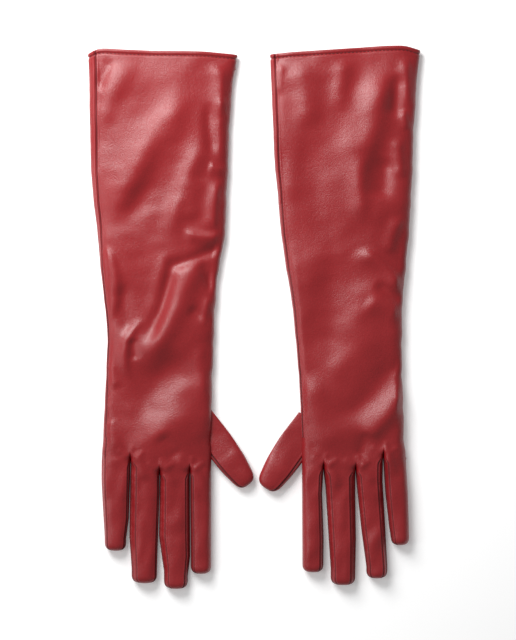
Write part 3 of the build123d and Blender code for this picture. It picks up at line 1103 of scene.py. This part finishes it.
for side, glove in GLOVES.items():
    for name in glove["order"]:
        build_finger(side, glove, name)

# %% [markdown]
# ## Thumbs
#
# The thumb is a separate piece set into the palm. It comes out from under the edge of the hand, so
# it is a tube of its own along a slanting line, with a seam round its outer edge, and its root is
# hidden inside the hand.


# %% Thumb sections
THUMB_REACH = 9.0  # length of the rounded tip
THUMB_LIFT = 4.9  # height of its crown above the sides
THUMB_SEAM = 0.8  # seams, as shares of the half width
THUMB_CREASE = ((-3, 44), (6, 50), 5, 0.6)  # a fold where the first joint would bend


def thumb_loop(shape):
    """Sections of a thumb that points along -Y from the origin, with the closing share of each."""
    along = rows_to_tip(shape["length"], THUMB_REACH, FINGER_STEP)
    close = closing(shape["length"] - along, 0.0, THUMB_REACH)
    half = line(shape["widths"], along, 4.0) / 2 * close
    crease = fold(np.zeros(along.shape), along, *THUMB_CREASE)[:, None]
    rise = 0.2 + 0.8 * smooth((along[:, None] - 16) / 42)

    def top(c, x, rows):
        """A crown that rises from the root, with wrinkles and a shallow crease."""
        wrinkle = waves(x * 1.3, -rows, 21, 10, 30, 9, 0.22) * (1 - np.abs(c) ** 4)
        crown = THUMB_LIFT * rise * oval(c, 2.5) + wrinkle
        return SIDE_HEIGHT + crown * close[:, None] + crease * (1 - c**2)

    def floor(c, x, rows):
        """Level below, rounding up at the sides."""
        return SIDE_HEIGHT - (SIDE_HEIGHT - FLOOR_GAP) * oval(c, FLOOR_POWER) * close[:, None]

    seam = np.full(along.shape, THUMB_SEAM)
    loop, seams = section_loop(-along, -half, half, (-seam, seam), (-seam, seam), FINGER_COLUMNS, top, floor)
    return loop, seams, close


def turned(points, shape):
    """Points turned about Z and carried to the thumb's root."""
    turn = math.radians(shape["turn"])
    x, y = points[..., 0], points[..., 1]
    spun = points.copy()
    spun[..., 0] = x * math.cos(turn) - y * math.sin(turn) + shape["axis"][0]
    spun[..., 1] = x * math.sin(turn) + y * math.cos(turn) + shape["axis"][1]
    return spun


print("thumbs turn", [glove["thumb"]["turn"] for glove in GLOVES.values()], "degrees")


# %% Build the thumbs
THUMB_LINING_GAP = 1.4
THUMB_BEND = 7.0  # span to each side of the thumb's hinge


def build_thumb(side, glove):
    """Both halves and the lining of a thumb."""
    shape = glove["thumb"]
    plain, seams, close = thumb_loop(shape)
    inner_edge = seams[0] if side == "right" else seams[1]
    sewn, rub = sew(plain, [inner_edge, seams[2]], depth=0.5, lip=0.28)
    loop = turned(plain + (sewn - plain) * seam_fade(close)[:, None, None], shape)
    start, middle = (inner_edge, seams[2]) if side == "right" else (0, inner_edge)
    halves = ((f"{side}_thumb_back_half", start, middle, f"{side}_thumb_outer"),
              (f"{side}_thumb_palm_half", middle, start + loop.shape[1], f"{side}_thumb_inner"))
    made = [panel(piece, loop, rub, first, last, [node]) for piece, first, last, node in halves]
    inner = turned(inset(plain, THUMB_LINING_GAP)[1:-6:3, ::2], shape)
    lining = make_piece(f"{side}_thumb_knit", inner, KNIT, wrap=True)
    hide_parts(f"{side}_thumb_lining")
    x, y, z = joint_place(f"{side}_thumb_fold")
    reach = THUMB_BEND if side == "right" else -THUMB_BEND
    for piece in made + [lining]:
        in_metres(x - reach, y, z)
        in_metres(x + reach, y, z)
        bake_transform(piece)
    print(side, "thumb: rows", loop.shape[0], "columns", loop.shape[1], "pieces", len(made) + 1)


for side, glove in GLOVES.items():
    build_thumb(side, glove)

# %% [markdown]
# ## Floor, light and camera
#
# A plain white table, a large soft light above and beyond the cuffs to the left, a weak fill, and a
# long lens looking straight down. The key light is low enough to rake over the folds, which is what
# makes them readable. The table glows a little, so it stays white where the light falls off.

# %% Table and surroundings
TABLE_HALF = 3.0
table_mesh = bpy.data.meshes.new("table")
corners = [(x * TABLE_HALF, y * TABLE_HALF, 0) for x, y in ((-1, -1), (1, -1), (1, 1), (-1, 1))]
table_mesh.from_pydata(corners, [], [(0, 1, 2, 3)])
table_mesh.materials.append(Board("white_table").finish(
    Base_Color=(0.93, 0.93, 0.93, 1), Roughness=0.9, Emission_Color=(1, 1, 1, 1), Emission_Strength=0.15))
table = bpy.data.objects.new("table", table_mesh)
bpy.context.scene.collection.objects.link(table)

world = bpy.data.worlds.new("studio")
world.use_nodes = True
background = world.node_tree.nodes["Background"].inputs
background["Color"].default_value = (1, 1, 1, 1)
background["Strength"].default_value = 0.33
bpy.context.scene.world = world
bpy.context.scene.view_settings.view_transform = "Standard"
print("table", 2 * TABLE_HALF, "m square, surroundings at", round(background["Strength"].default_value, 2))


# %% Lights
def area_light(name, place, aim, size, power):
    """A square soft light that faces a point."""
    lamp = bpy.data.lights.new(name, "AREA")
    lamp.shape = "SQUARE"
    lamp.size = size
    lamp.energy = power
    lamp_object = bpy.data.objects.new(name, lamp)
    lamp_object.location = place
    lamp_object.rotation_euler = (Vector(aim) - Vector(place)).to_track_quat("-Z", "Y").to_euler()
    bpy.context.scene.collection.objects.link(lamp_object)
    print(name, "light", power, "W,", size, "m across")


area_light("key", (-0.40, 0.60, 0.60), (0, 0.05, 0), 0.55, 13.3)
area_light("fill", (-1.0, -0.15, 0.85), (0, -0.08, 0), 0.5, 3.0)

# %% Camera
VIEW_CENTRE = (0.0032, -0.0016)
VIEW_HEIGHT = 0.512  # the view spans this much of the table, top to bottom
CAMERA_HEIGHT = 1.7
SENSOR_HEIGHT = 24  # millimetres
camera = bpy.data.cameras.new("camera")
camera.sensor_fit = "VERTICAL"
camera.sensor_height = SENSOR_HEIGHT
camera.lens = SENSOR_HEIGHT * CAMERA_HEIGHT / VIEW_HEIGHT
camera_object = bpy.data.objects.new("camera", camera)
camera_object.location = (*VIEW_CENTRE, CAMERA_HEIGHT)
bpy.context.scene.collection.objects.link(camera_object)
bpy.context.scene.camera = camera_object
print("lens", round(camera.lens), "mm")
